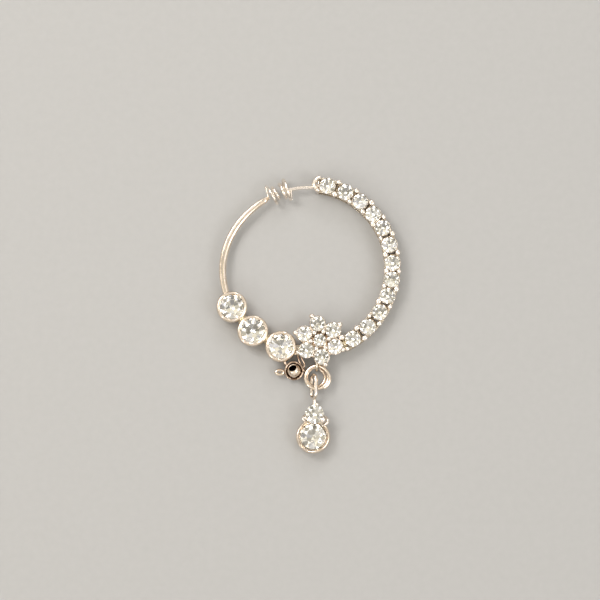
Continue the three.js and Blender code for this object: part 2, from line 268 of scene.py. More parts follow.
def set_piece(name, bm, material, nodes, corner=30.0, soften=0.0, inner=None):
    """Closes a piece's mesh, shades it, and fixes it to the ring in place of its CAD nodes.

    inner is a second material, for the faces whose material_index is 1.
    """
    bmesh.ops.remove_doubles(bm, verts=bm.verts[:], dist=0.0005 * MM)
    bmesh.ops.recalc_face_normals(bm, faces=bm.faces[:])
    mesh = bpy.data.meshes.new(name)
    bm.to_mesh(mesh)
    bm.free()
    mesh.shade_smooth()
    mesh.set_sharp_from_angle(angle=math.radians(corner))
    mesh.materials.append(material)
    if inner:
        mesh.materials.append(inner)
    piece = bpy.data.objects.new(name, mesh)
    bpy.context.scene.collection.objects.link(piece)
    if soften:
        edge = piece.modifiers.new("softened_edges", "BEVEL")
        edge.width = soften
        edge.segments = 2
        edge.limit_method = "ANGLE"
        edge.angle_limit = math.radians(corner)
        edge.harden_normals = True
    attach(piece, "root")
    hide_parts(*nodes)
    return piece


SIDE_STEPS = 90
SIDE_FROM, SIDE_TO = 200.0, 119.0
SIDE_PAD_RADIUS, SIDE_OPENS, SIDE_OPENS_OVER = 12.42 * MM, 0.78 * MM, 70.0
SIDE_WIDTH, SIDE_BELLY, SIDE_TAPER = 1.02 * MM, 0.12 * MM, 0.1 * MM
SIDE_THICKNESS = 0.92 * MM
FILED_AWAY, FILED_FROM = 0.45 * MM, 0.95

path, widths, heights = [], [], []
for i in range(SIDE_STEPS + 1):
    part = i / SIDE_STEPS
    angle = SIDE_FROM + (SIDE_TO - SIDE_FROM) * part
    opened = SIDE_OPENS * smooth((angle - SIDE_TO) / SIDE_OPENS_OVER)
    path.append(on_hoop(angle, SIDE_PAD_RADIUS + opened, WIRE_HEIGHT))
    filed = FILED_AWAY * smooth((part - FILED_FROM) / (1 - FILED_FROM))
    shaped = SIDE_BELLY * math.sin(math.pi * part) - SIDE_TAPER * smooth(part * 2 - 1)
    widths.append(SIDE_WIDTH + shaped - filed)
    heights.append(SIDE_THICKNESS - filed)
side = bmesh.new()
pull_wire(side, path, widths, heights, sides=24, seam=-2)
set_piece("side_wire", side, champagne, ["hoop_frame"])


# Top wire and pads: a thinner round brass wire comes off the stone line. Its end, and the filed end
# of the side wire, are each wound into a cone of a turn and a half. The cones face each other and
# spring shut on the nostril, so the ring is worn without a piercing.

rubbed = plated(
    "rubbed_plate", (0.95, 0.87, 0.78), (0.64, 0.52, 0.4), 0.12, dirt_height=0.0012
)

TOP_WIRE, TOP_STEPS = 0.62 * MM, 24
TOP_FROM, TOP_TO = 81.0, 103.5
TOP_RADIUS, TOP_BENDS, TOP_BENDS_OVER = 12.9 * MM, 0.42 * MM, 8.0

PAD_TURNS, TURN_STEPS = 1.55, 30
PAD_CENTRE_RADIUS = 12.6 * MM
PAD_SPREAD = 1.14
NARROWS_BY, NARROWS_AFTER = 1.6, 0.3
LEAD_STEPS, LEAD_ANGLE = 6, 2.2
# Angles of the outer and inner turn, the turn it leads in at, and then in millimetres the outer
# and inner radius and the outer and inner thickness of the wire
PADS = {
    "left_pad": (117.2, 112.4, 0, 1.42, 0.85, 0.36, 0.5),
    "right_pad": (104.2, 109.2, 180, 1.42, 1.0, 0.54, 0.46),
}


def wound_pad(bm, start, end, lead, outer, inner, first, last):
    """Winds a pad from its outer turn inwards, after a short lead from the wire's own line."""
    path, widths = [], []
    steps = round(PAD_TURNS * TURN_STEPS)
    way = math.copysign(1, start - end)
    for i in range(-LEAD_STEPS, steps + 1):
        part = max(i / steps, 0)
        leading = max(-i / LEAD_STEPS, 0)
        radius = outer + (inner - outer) * smooth(part * NARROWS_BY - NARROWS_AFTER)
        radius *= smooth(1 - leading) * MM
        turn = math.radians(lead) + way * math.tau * PAD_TURNS * part
        angle = start + (end - start) * part + way * LEAD_ANGLE * leading
        level = WIRE_HEIGHT + radius * math.sin(turn)
        spread = PAD_CENTRE_RADIUS + PAD_SPREAD * radius * math.cos(turn)
        path.append(on_hoop(angle, spread, level))
        widths.append((first + (last - first) * part) * MM)
    pull_wire(bm, *rounded_ends(path, widths[-1], widths), sides=14)


path = []
for i in range(TOP_STEPS + 1):
    angle = TOP_FROM + (TOP_TO - TOP_FROM) * i / TOP_STEPS
    bent = TOP_BENDS * smooth((angle - TOP_FROM) / TOP_BENDS_OVER)
    path.append(on_hoop(angle, TOP_RADIUS - bent, WIRE_HEIGHT))
top = bmesh.new()
pull_wire(top, path, [TOP_WIRE] * len(path), sides=18)
set_piece("top_wire", top, rubbed, ["hoop_frame"])

for name, sizes in PADS.items():
    pad = bmesh.new()
    wound_pad(pad, *sizes)
    set_piece(name, pad, rubbed, ["hoop_frame"])


# Bezel cups: three cups turned from thick brass sheet, closed behind, whose rims are burnished down
# over the stones. The burnisher leaves the rims a little uneven. Each cup touches the next at one
# point, where they are soldered.

BEZEL_NODES = ["bezel_stone_1", "bezel_stone_2", "bezel_stone_3"]
BEZEL_PROFILE = [
    (0, 0), (2.0, 0), (2.1, 0.08), (2.36, 1.1), (2.39, 1.6), (2.39, 2.62), (2.33, 2.86),
    (2.2, 2.98), (2.05, 3.0), (1.92, 2.94), (1.86, 2.8), (1.87, 2.72), (2.01, 2.58),
    (2.01, 2.42), (1.76, 2.16), (1.4, 1.62), (0.5, 0.62), (0, 0.55),
]


def turn_profile(bm, profile, centre, steps=72):
    """Spins a profile of (radius, height) pairs, in millimetres, about an upright axis."""
    verts = [bm.verts.new((centre.x + r * MM, centre.y, centre.z + z * MM)) for r, z in profile]
    edges = [bm.edges.new(pair) for pair in zip(verts, verts[1:])]
    bmesh.ops.spin(
        bm, geom=verts + edges, cent=centre, axis=(0, 0, 1), angle=math.tau, steps=steps,
        use_merge=True,
    )


HAND_SEED = 7
noise.seed_set(HAND_SEED)


def unevenness(bm, amount, size, above=0.0):
    """Moves a surface in and out a little, as hand finishing leaves it."""
    for vert in bm.verts:
        if vert.co.z >= above:
            vert.co += noise.noise_vector(vert.co / size) * amount


def on_floor(node):
    centre = middle_of(node)
    centre.z = 0
    return centre


for i, node in enumerate(BEZEL_NODES):
    cup = bmesh.new()
    turn_profile(cup, BEZEL_PROFILE, on_floor(node))
    unevenness(cup, amount=0.05 * MM, size=1.3 * MM, above=1.0 * MM)
    set_piece(f"bezel_cup_{i + 1}", cup, champagne, ["hoop_frame"], corner=42)


# Solder: fillets of hard solder where the cups touch, and a yellower lump that joins the stone
# line to the flower. It was run in with a torch, and is left rounder and rougher than the plate.

solder = plated(
    "hard_solder", (0.76, 0.69, 0.51), (0.42, 0.34, 0.21), 0.4, patch_scale=1400, dirt_height=0.002
)


LUMPINESS, LUMPS_ACROSS, LUMPS_APART = 0.16, 1.6, 900


def solder_lump(bm, place, size):
    """A rounded lump about the origin. Its place only decides which way it is lumpy."""
    made = bmesh.ops.create_icosphere(bm, subdivisions=3, radius=1)["verts"]
    for vert in made:
        vert.co *= 1 + LUMPINESS * noise.noise(vert.co * LUMPS_ACROSS + place * LUMPS_APART)
    bmesh.ops.transform(bm, matrix=Matrix.Diagonal((*size, 1)), verts=made)
    return made


# Level, and half widths along the gap, across it and upwards, in millimetres
CUP_LUMP = (1.75, 0.42, 0.8, 1.0)
LINE_LUMP = (1.6, 0.5, 0.75, 0.8)


def lump_between(bm, first, second, lump):
    level, *size = (length * MM for length in lump)
    place = (on_floor(first) + on_floor(second)) / 2 + Vector((0, 0, level))
    gap = on_floor(second) - on_floor(first)
    made = solder_lump(bm, place, size)
    turned = Matrix.Rotation(math.atan2(gap.y, gap.x), 4, "Z")
    bmesh.ops.transform(bm, matrix=Matrix.Translation(place) @ turned, verts=made)


lumps = bmesh.new()
for first, second in zip(BEZEL_NODES, BEZEL_NODES[1:]):
    lump_between(lumps, first, second, CUP_LUMP)
lump_between(lumps, "petal_stone_3", "line_stone_12", LINE_LUMP)
set_piece("solder_fillets", lumps, solder, ["hoop_frame"])


# Bar: a flat brass strip that runs under the flower, from the third cup to the end of the stone
# line, and carries both. A short wider plate strengthens it beside the cup.

# A darker plate for the bar, the rails and the hanger, which lie low and under the flower: its dark
# colour and its greater shade height are painted shade, with dull patches of tarnish
shaded_tarnished = plated(
    "shaded_tarnished_plate", (0.84, 0.76, 0.63), (0.36, 0.27, 0.17), 0.2,
    patch_scale=1100, dirt_height=0.0024,
)


def bend_strip(bm, radius, width, low, high, start, end, steps):
    """Bends a strip of rectangular section round the hoop's centre between two angles."""
    corners = [(-0.5, low), (0.5, low), (0.5, high), (-0.5, high)]
    verts = [bm.verts.new(on_hoop(start, radius + side * width, z)) for side, z in corners]
    bmesh.ops.spin(
        bm, geom=[bm.faces.new(verts)], cent=hoop_centre, axis=(0, 0, 1),
        angle=math.radians(end - start), steps=steps,
    )


# Radius, width, low and high in millimetres, then the first and last angle and the steps
BAR_STRIPS = [
    (13.0, 1.0, 0.35, 1.15, -102, -63, 24),
    (12.8, 1.6, 0.4, 1.35, -103, -95, 8),
]

bar = bmesh.new()
for radius, width, low, high, *bend in BAR_STRIPS:
    bend_strip(bar, radius * MM, width * MM, low * MM, high * MM, *bend)
set_piece("carrying_bar", bar, shaded_tarnished, ["hoop_frame"], soften=0.08 * MM)


# Stone line: a cast brass gallery with a low and a high rail on each side, a cross-bar under each
# gap and a thin collet for each stone. A pair of posts stands at each gap, with heads pressed into
# beads that hold the stones on both sides. A curved end claw joins the first pair.

LINE_ANGLES = [76.7, 63.7, 51.9, 39.4, 28.0, 15.6, 3.0, -8.4, -19.8, -32.3, -45.2, -58.2]
LINE_START, LINE_END = 83.0, -64.6
# Set off from the line's middle, width, low and high, in millimetres
RAILS = [(0.98, 0.42, 0, 0.5), (1.0, 0.34, 1.35, 1.8)]
RAIL_STEPS = 96
CROSS_BAR, CROSS_BAR_REACH, CROSS_BAR_LEVEL = 0.5 * MM, 0.9 * MM, 0.3 * MM
CLAW_POST, CLAW_OFFSET, CLAW_FOOT = 0.5 * MM, 1.02 * MM, 0.1 * MM
BEAD_LEVEL, BEAD_INSET = 2.76 * MM, 0.04 * MM
BEAD_SIZE = Vector((0.78, 0.92, 0.6)) * MM
FIRST_BEADS, BEADS_VARY, VARY_STEP = 0.8, 0.12, 2.4
DENTS, DENTS_ACROSS, DENTS_APART = 0.05, 2, 1500
END_CLAW_WIRE, END_CLAW_BULGE, END_CLAW_STEPS = 0.62 * MM, 3.2, 16
END_CLAW_OUTSIDE, END_CLAW_CROSSES = 1.1 * MM, 2.1 * MM
END_CLAW_TOP, END_CLAW_SINKS = 2.74 * MM, 0.7 * MM


def post(bm, foot, top, thickness, sides=12):
    """A straight round post between two points."""
    line = top - foot
    turned = line.to_track_quat("Z", "Y").to_matrix().to_4x4()
    bmesh.ops.create_cone(
        bm, cap_ends=True, segments=sides, radius1=thickness / 2, radius2=thickness / 2,
        depth=line.length, matrix=Matrix.Translation((foot + top) / 2) @ turned,
    )


def pressed_bead(bm, place, across, along, high, facing=0.0):
    """A claw's head pressed into a bead, longer along the line that it holds."""
    made = bmesh.ops.create_uvsphere(bm, u_segments=18, v_segments=12, radius=0.5)["verts"]
    for vert in made:
        vert.co *= 1 + DENTS * noise.noise(vert.co * DENTS_ACROSS + place * DENTS_APART)
    turned = Matrix.Rotation(math.radians(facing), 4, "Z")
    sized = Matrix.Diagonal((across, along, high, 1))
    bmesh.ops.transform(bm, matrix=Matrix.Translation(place) @ turned @ sized, verts=made)


gaps = [LINE_START]
gaps += [(a + b) / 2 for a, b in zip(LINE_ANGLES, LINE_ANGLES[1:])]
gaps += [LINE_END]

rails = bmesh.new()
for side in (-1, 1):
    for offset, width, low, high in RAILS:
        radius = HOOP_RADIUS + side * offset * MM
        sizes = (width * MM, low * MM, high * MM)
        bend_strip(rails, radius, *sizes, LINE_START, LINE_END, RAIL_STEPS)
for angle in gaps:
    radii = (HOOP_RADIUS - CROSS_BAR_REACH, HOOP_RADIUS + CROSS_BAR_REACH)
    post(rails, *(on_hoop(angle, radius, CROSS_BAR_LEVEL) for radius in radii), CROSS_BAR)
set_piece("line_rails", rails, shaded_tarnished, ["hoop_frame"], soften=0.05 * MM)

COLLET = [
    (0.98, 1.62), (1.12, 1.74), (1.27, 2.1), (1.29, 2.42), (1.27, 2.52), (1.22, 2.56), (1.17, 2.52),
    (1.15, 2.42), (1.0, 1.8), (0.98, 1.62),
]
collets = bmesh.new()
for i in range(1, 13):
    turn_profile(collets, COLLET, on_floor(f"line_stone_{i}"), steps=40)
unevenness(collets, amount=0.04 * MM, size=0.6 * MM, above=2.3 * MM)
set_piece("line_collets", collets, rubbed, ["hoop_frame"], corner=50)

claws = bmesh.new()
for i, angle in enumerate(gaps):
    for side in (-1, 1):
        radius = HOOP_RADIUS + side * CLAW_OFFSET
        top = on_hoop(angle, radius, BEAD_LEVEL)
        post(claws, on_hoop(angle, radius, CLAW_FOOT), top, CLAW_POST)
        swell = 1 + BEADS_VARY * math.sin(i * VARY_STEP + side) if i else FIRST_BEADS
        bead = on_hoop(angle, radius - side * BEAD_INSET, BEAD_LEVEL)
        pressed_bead(claws, bead, BEAD_SIZE.x * swell, BEAD_SIZE.y * swell, BEAD_SIZE.z, angle)
path = []
for i in range(END_CLAW_STEPS + 1):
    part = i / END_CLAW_STEPS
    bulge = END_CLAW_BULGE * math.sin(math.pi * part)
    radius = HOOP_RADIUS + END_CLAW_OUTSIDE - END_CLAW_CROSSES * part
    path.append(on_hoop(LINE_START + bulge, radius, END_CLAW_TOP - END_CLAW_SINKS * part))
pull_wire(claws, path, [END_CLAW_WIRE] * len(path), sides=14)
set_piece("line_claws", claws, rubbed, ["hoop_frame"], corner=40)


# Flower: six cast brass cups stand round a smaller one on a round plate. One claw rises outside
# each petal, and one in each gap inside, and their heads are pressed over the stones.

PETALS = [f"petal_stone_{i}" for i in range(1, 7)]
PETAL_CUP = [
    (0.5, 0.8), (0.66, 0.8), (1.0, 1.9), (1.18, 2.45), (1.26, 2.72), (1.275, 2.86), (1.24, 2.95),
    (1.18, 2.98), (1.12, 2.94), (1.1, 2.86), (1.06, 2.72), (0.88, 2.2), (0.5, 0.95), (0.5, 0.8),
]
CENTRE_CUP = [
    (0.3, 0.8), (0.5, 0.8), (0.84, 2.8), (0.8, 2.92), (0.72, 2.88), (0.3, 1.0), (0.3, 0.8),
]
FLOWER_PLATE = [(0, 0.55), (2.6, 0.55), (2.75, 0.65), (2.75, 0.95), (2.65, 1.05), (0, 1.05)]
# Angle, distance from the flower's middle, and length of the pressed bead
OUTER_CLAWS = [
    (108, 3.95, 0.8), (38, 3.97, 0.86), (-23, 3.95, 0.76), (-77, 3.93, 0.84),
    (-150.5, 3.95, 0.72), (163, 3.95, 0.8),
]
OUTER_CLAW_WIRE, OUTER_CLAW_STEPS, OUTER_FOOT_RING = 0.46 * MM, 6, 2.5 * MM
KNEE_INSET, KNEE_LEVEL, OUTER_HEAD_LEVEL = 0.25 * MM, 1.7 * MM, 3.08 * MM
OUTER_BEAD_INSET, OUTER_BEAD_LEVEL = 0.06 * MM, 3.12 * MM
OUTER_BEAD_SHARE, OUTER_BEAD_HEIGHT = 0.92, 0.66 * MM
INNER_CLAWS, INNER_CLAW_TURN = 6, 7
INNER_CLAW_RING, INNER_CLAW_POST, INNER_HEAD_LEVEL = 1.4 * MM, 0.4 * MM, 3.2 * MM
INNER_BEAD = (0.84 * MM, 0.7 * MM, 0.6 * MM)
GALLERY_LEVEL = 0.8 * MM

flower_centre = on_floor("flower_centre_stone")
gallery = bmesh.new()
turn_profile(gallery, FLOWER_PLATE, flower_centre, steps=48)
turn_profile(gallery, CENTRE_CUP, flower_centre, steps=36)
set_piece("flower_gallery", gallery, champagne, ["hoop_frame"], corner=50)

cups = bmesh.new()
for node in PETALS:
    turn_profile(cups, PETAL_CUP, on_floor(node), steps=48)
unevenness(cups, amount=0.05 * MM, size=0.7 * MM, above=2.5 * MM)
set_piece("petal_cups", cups, rubbed, ["hoop_frame"], corner=50)

claws = bmesh.new()
for angle, ring, size in OUTER_CLAWS:
    foot = flower_centre + polar(OUTER_FOOT_RING, angle, GALLERY_LEVEL)
    knee = flower_centre + polar(ring * MM - KNEE_INSET, angle, KNEE_LEVEL)
    head = flower_centre + polar(ring * MM, angle, OUTER_HEAD_LEVEL)
    parts = [i / OUTER_CLAW_STEPS for i in range(OUTER_CLAW_STEPS + 1)]
    path = [foot.lerp(knee, part).lerp(knee.lerp(head, part), part) for part in parts]
    pull_wire(claws, path, [OUTER_CLAW_WIRE] * len(path), sides=12)
    place = flower_centre + polar(ring * MM - OUTER_BEAD_INSET, angle, OUTER_BEAD_LEVEL)
    pressed_bead(claws, place, OUTER_BEAD_SHARE * size * MM, size * MM, OUTER_BEAD_HEIGHT, angle)
for i in range(INNER_CLAWS):
    angle = INNER_CLAW_TURN + 360 / INNER_CLAWS * i
    foot = flower_centre + polar(INNER_CLAW_RING, angle, GALLERY_LEVEL)
    head = flower_centre + polar(INNER_CLAW_RING, angle, INNER_HEAD_LEVEL)
    post(claws, foot, head, INNER_CLAW_POST)
    pressed_bead(claws, head, *INNER_BEAD, angle)
set_piece("flower_claws", claws, rubbed, ["hoop_frame"], corner=40)


# Hanger: an eye of brass wire, soldered under the lowest petal and bent up again through the split
# ring. It carries the drop, and its darker plate is painted shade under the petal, with dull
# patches.

HANGER_WIRE, HANGER_X = 0.4 * MM, 1.3
# Distance up the ring from the hoop's middle, and height, in millimetres
HANGER_PATH = [
    (-12.9, 0.8), (-13.6, 0.45), (-14.5, 0.32), (-15.3, 0.33), (-15.7, 0.62), (-15.9, 1.2),
    (-15.75, 1.85), (-15.3, 2.22), (-14.6, 2.3),
]


def eased(points, steps=6):
    """A smooth curve through the points."""
    points = [points[0] * 2 - points[1], *points, points[-1] * 2 - points[-2]]
    path = []
    for a, b, c, d in zip(points, points[1:], points[2:], points[3:]):
        for i in range(steps):
            t = i / steps
            path.append(
                0.5 * (2 * b + (c - a) * t + (2 * a - 5 * b + 4 * c - d) * t**2
                       + (3 * b - a - 3 * c + d) * t**3)
            )
    return path + [points[-2]]


hanger = bmesh.new()
path = eased([hoop_centre + Vector((HANGER_X, y, z)) * MM for y, z in HANGER_PATH])
pull_wire(hanger, path, [HANGER_WIRE] * len(path), sides=14)
set_piece("ring_hanger", hanger, shaded_tarnished, ["hoop_frame"])


# Bead cup: a small shallow brass cup for a drilled bead, with a wire rim round it that is left open
# at the bottom. A strap and two thin wires hold it under the third bezel, and a flattened eyelet
# on its left is for a support chain.

CUP_PROFILE = [
    (0, 0), (0.9, 0), (1.0, 0.05), (1.38, 0.6), (1.42, 1.0), (1.4, 1.24), (1.28, 1.28),
    (1.2, 1.2), (1.16, 0.95), (0.95, 0.55), (0.55, 0.34), (0, 0.3),
]
CUP_NOTCH, NOTCH_LEVEL, NOTCH_LEFT = 18.0, 0.5 * MM, 0.15
RIM_RADIUS, RIM_LEVEL, RIM_WIRE, RIM_SAG = 1.34 * MM, 1.5 * MM, 0.3 * MM, 0.04 * MM
RIM_FROM, RIM_TO, RIM_STEPS, RIM_WAVES = -68, 247, 60, 3
EYELET_PLACE = Vector((-2.18, -0.2, 0.95)) * MM
EYELET_LONG, EYELET_SHORT = 0.62 * MM, 0.35 * MM
EYELET_WIDTH, EYELET_HEIGHT, EYELET_STEPS = 0.42 * MM, 0.46 * MM, 40
LUG_PLACE = Vector((1.42, 0.13, 1.35)) * MM
LUG_SIZE = (0.27 * MM, 0.42 * MM, 0.5 * MM)
# Thickness of each strut, and the points that it runs through, in millimetres
STRUTS = [
    (0.5, [(-1.05, 0.84, 1.2), (-1.33, 1.1, 1.35), (-1.53, 1.9, 1.5)]),
    (0.34, [(1.3, 0.55, 1.35), (0.97, 1.15, 1.4), (0.42, 2.7, 0.95)]),
    (0.3, [(1.32, 0.3, 1.4), (1.62, 0.9, 1.5), (1.17, 2.0, 1.3), (0.97, 3.3, 0.9)]),
]

# The cup, its rim, struts and lug take a darker plate: its dark colours are painted shade and a
# painted dark reflection, and its greater shade height darkens it low down
shaded_dull = plated(
    "shaded_dull_plate", (0.6, 0.48, 0.38), (0.2, 0.13, 0.09), 0.25,
    patch_scale=1100, dirt_height=0.0026,
)

cup_centre = on_floor("side_bead")
holder = bmesh.new()
turn_profile(holder, CUP_PROFILE, cup_centre, steps=72)
for vert in holder.verts:
    out = vert.co - cup_centre
    aside = math.degrees(math.atan2(out.x, -out.y))
    if abs(aside) < CUP_NOTCH and out.z > NOTCH_LEVEL:
        vert.co.z = NOTCH_LEVEL + NOTCH_LEFT * (out.z - NOTCH_LEVEL)
set_piece("bead_cup", holder, shaded_dull, ["hoop_frame"], corner=45)

rim = bmesh.new()
path = []
for i in range(RIM_STEPS + 1):
    angle = RIM_FROM + (RIM_TO - RIM_FROM) * i / RIM_STEPS
    sag = RIM_SAG * math.sin(math.radians(angle * RIM_WAVES))
    path.append(cup_centre + polar(RIM_RADIUS, angle, RIM_LEVEL + sag))
pull_wire(rim, *rounded_ends(path, RIM_WIRE), sides=14)
for thickness, points in STRUTS:
    path = eased([cup_centre + Vector(point) * MM for point in points])
    pull_wire(rim, path, [thickness * MM] * len(path), sides=12)
unevenness(rim, amount=0.05 * MM, size=0.9 * MM, above=1.2 * MM)
set_piece("bead_cup_rim", rim, shaded_dull, ["hoop_frame"], corner=45)

eyelet = bmesh.new()
path = []
for i in range(EYELET_STEPS + 1):
    turn = math.tau * i / EYELET_STEPS
    bend = Vector((EYELET_LONG * math.cos(turn), EYELET_SHORT * math.sin(turn), 0))
    path.append(cup_centre + EYELET_PLACE + bend)
pull_wire(eyelet, path, [EYELET_WIDTH] * len(path), [EYELET_HEIGHT] * len(path), sides=14)
set_piece("chain_eyelet", eyelet, champagne, ["hoop_frame"], corner=45)

lug = bmesh.new()
place = cup_centre + LUG_PLACE
made = solder_lump(lug, place, LUG_SIZE)
bmesh.ops.translate(lug, vec=place, verts=made)
set_piece("bead_cup_lug", lug, shaded_dull, ["hoop_frame"])


# Side bead: a small round brass bead set loosely in the cup, with its drilled hole turned up and
# back. The hole is painted near black, as painted shade inside it.

BORE, BORE_FLOOR = 0.55, -0.6
BORE_TURNED, BORE_LEANS = 30, -35
# Radius and height of the bead's section, as parts of its radius
BEAD_SECTION = [
    (0, -0.55), (0.44, -0.5), (0.54, 0.6), (0.57, 0.74), (0.62, 0.77), (0.71, 0.7), (0.81, 0.58),
    (0.93, 0.37), (0.99, 0.14), (0.99, -0.14), (0.93, -0.37), (0.8, -0.6), (0.6, -0.8),
    (0.32, -0.947), (0, -1),
]

# Painted shade inside the drilled hole: a near-black plate for its inner faces
bore_painted_shade = plated("bore_painted_shade_plate", (0.12, 0.07, 0.045), (0.05, 0.03, 0.02), 0.5, patch_scale=2000)

bead_low, bead_high = (Vector(corner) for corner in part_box("side_bead"))
bead_middle = (bead_low + bead_high) / 2
bead_radius = (bead_high.x - bead_low.x) / 2
scaled = [(r * bead_radius / MM, z * bead_radius / MM) for r, z in BEAD_SECTION]
bead = bmesh.new()
turn_profile(bead, scaled, Vector(), steps=48)
for face in bead.faces:
    inside = all(vert.co.xy.length < BORE * bead_radius for vert in face.verts)
    if inside and face.calc_center_median().z > BORE_FLOOR * bead_radius:
        face.material_index = 1
lean = Matrix.Rotation(math.radians(BORE_LEANS), 4, "X")
lean = Matrix.Rotation(math.radians(BORE_TURNED), 4, "Z") @ lean
bmesh.ops.transform(bead, matrix=Matrix.Translation(bead_middle) @ lean, verts=bead.verts[:])
set_piece("drilled_bead", bead, champagne, ["side_bead"], corner=50, inner=bore_painted_shade)


# Split ring: two and a third turns of hard wire. It was sprung open over the hanger and the drop's
# bail, so the second turn is wider than the first, and the loose end stands out on the right.

RING_WIRE, RING_BULGE = 0.42 * MM, 1.18
RING_FIRST, RING_LAST = 62, -780
RING_RADIUS, RING_WIDENS, RING_SPRINGS = 1.41 * MM, 0.35 * MM, 0.28 * MM
RING_PITCH, RING_SHIFTS = 0.43 * MM, 0.16 * MM
RING_LEFT_REACH = 1.79 * MM
# Degrees round the ring at which the wire crosses over to the second turn and to the third, and at
# which its end springs out, each followed by how many degrees it takes
SECOND_FROM, THIRD_FROM, CROSSES_OVER = 200, 560, 130
SPRUNG_FROM, SPRINGS_OVER = 680, 60
RING_STEP = 4

ring_low, ring_high = (Vector(corner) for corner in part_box("split_ring"))
ring_centre = Vector((ring_low.x + RING_LEFT_REACH, (ring_low.y + ring_high.y) / 2, 0))
lowest = ring_low.z + RING_WIRE / 2
path = []
for angle in range(RING_FIRST, RING_LAST, -RING_STEP):
    second = smooth((-angle - SECOND_FROM) / CROSSES_OVER)
    third = smooth((-angle - THIRD_FROM) / CROSSES_OVER)
    sprung = smooth((-angle - SPRUNG_FROM) / SPRINGS_OVER)
    radius = RING_RADIUS + RING_WIDENS * second + RING_SPRINGS * sprung
    level = lowest + RING_PITCH * (second + third)
    path.append(ring_centre + polar(radius, angle, level) + Vector((RING_SHIFTS * second, 0, 0)))
ring = bmesh.new()
pull_wire(ring, path, [RING_WIRE * RING_BULGE] * len(path), sides=18)
set_piece("split_ring_wire", ring, champagne, ["split_ring"])


# Bail: a long narrow loop of flattened brass wire, soldered shut underneath, that hangs from the
# split ring. The drop's neck is soldered to its foot and thickens downwards.

BAIL_STEPS = 60
BAIL_WIDTH, BAIL_SPREAD, BAIL_THICKNESS = 0.52 * MM, 0.1 * MM, 0.41 * MM
BAIL_TOP, BAIL_FOOT, BAIL_BEND, BAIL_LEVEL = -17.3, -19.35, 0.8, 1.2
BAIL_X, BAIL_LEANS = 0.37, 0.43
NECK_PATH = [(0.94, -19.95, 1.2), (0.95, -20.5, 1.1), (0.95, -21.2, 0.9), (0.97, -22, 0.5)]
NECK_WIRE, NECK_WIDENS = 0.5 * MM, 0.28 * MM

path = []
for i in range(BAIL_STEPS + 1):
    turn = math.radians(-90 + 360 * i / BAIL_STEPS)
    y = (BAIL_TOP if i <= BAIL_STEPS / 2 else BAIL_FOOT) + BAIL_BEND * math.cos(turn)
    z = BAIL_LEVEL + BAIL_BEND * math.sin(turn)
    path.append(hoop_centre + Vector((BAIL_X + BAIL_LEANS * z, y, z)) * MM)
bail = bmesh.new()
widths = [BAIL_WIDTH + BAIL_SPREAD * math.sin(math.pi * i / BAIL_STEPS) for i in range(len(path))]
pull_wire(bail, path, widths, [BAIL_THICKNESS] * len(path), sides=16)
join = [path[-1], path[-1].lerp(path[0], 0.5), path[0]]
pull_wire(bail, join, [BAIL_WIDTH] * 3, [BAIL_THICKNESS] * 3, sides=16)
neck = eased([hoop_centre + Vector(point) * MM for point in NECK_PATH])
taper = [NECK_WIRE + NECK_WIDENS * smooth(i / (len(neck) - 1)) for i in range(len(neck))]
pull_wire(bail, neck, taper, sides=16)
set_piece("drop_bail", bail, rubbed, ["drop_frame"])


# Claw setting: a cast brass collet of two rings with three flared claws. The two lower claws are
# splayed into loops, so that light shows between them and the collet.

DROP_COLLET = [
    (0, 0), (0.82, 0), (0.9, 0.06), (1.02, 0.66), (0.96, 0.74), (0, 0.74),
]
DROP_COLLET_RING = [
    (0.97, 1.42), (1.2, 1.42), (1.3, 1.74), (1.24, 1.82), (1.06, 1.78), (0.97, 1.42),
]
# Angle and size of each head, and the radius and height of the points that a claw runs through
DROP_CLAWS = [(76, 0.62), (204, 0.66), (325, 0.9)]
DROP_CLAW_PATH = [(0.72, 0.3), (1.12, 1.2), (1.34, 2.0), (1.56, 2.95)]
DROP_CLAW_WIDTH, DROP_CLAW_THICKNESS = 0.52 * MM, 0.4 * MM
DROP_HEAD_RADIUS, DROP_HEAD_LEVEL = 1.52 * MM, 3.16 * MM
DROP_BEAD_SHARE, DROP_BEAD_HEIGHT = 0.9, 0.6 * MM
# Angle, reach and thickness of each splayed loop, in degrees and millimetres
LOOSE_CLAWS = [(204, 1.9, 0.36), (325, 2.3, 0.54)]
# Radius, turn aside and height of a loop's foot and shoulder, in millimetres and degrees. The
# shoulder's radius is a part of the reach.
LOOP_FOOT, LOOP_SHOULDER = (1.07, 27, 1.63), (0.9, 15, 2.2)
LOOP_TOP_LEVEL = 2.5

collet_centre = on_floor("drop_stone_upper")
setting = bmesh.new()
turn_profile(setting, DROP_COLLET, collet_centre, steps=40)
turn_profile(setting, DROP_COLLET_RING, collet_centre, steps=40)
for angle, size in DROP_CLAWS:
    path = eased([collet_centre + polar(r * MM, angle, z * MM) for r, z in DROP_CLAW_PATH])
    widths, heights = [DROP_CLAW_WIDTH] * len(path), [DROP_CLAW_THICKNESS] * len(path)
    pull_wire(setting, path, widths, heights, sides=12)
    head = collet_centre + polar(DROP_HEAD_RADIUS, angle, DROP_HEAD_LEVEL)
    pressed_bead(setting, head, size * DROP_BEAD_SHARE * MM, size * MM, DROP_BEAD_HEIGHT, angle)
for angle, reach, thickness in LOOSE_CLAWS:
    share, *shoulder = LOOP_SHOULDER
    rising = [LOOP_FOOT, (reach * share, *shoulder)]
    falling = [(r, -aside, z) for r, aside, z in reversed(rising)]
    bend = [*rising, (reach, 0, LOOP_TOP_LEVEL), *falling]
    path = eased([collet_centre + polar(r * MM, angle + aside, z * MM) for r, aside, z in bend])
    pull_wire(setting, path, [thickness * MM] * len(path), sides=12)
set_piece("drop_claw_setting", setting, rubbed, ["drop_frame"], corner=45)


# Drop bezel: the widest cup, turned from thick brass sheet like those on the hoop, with its wall
# sloped in to a stone set low. The rim was cut by hand, and a lump of solder links it to the claw
# setting.

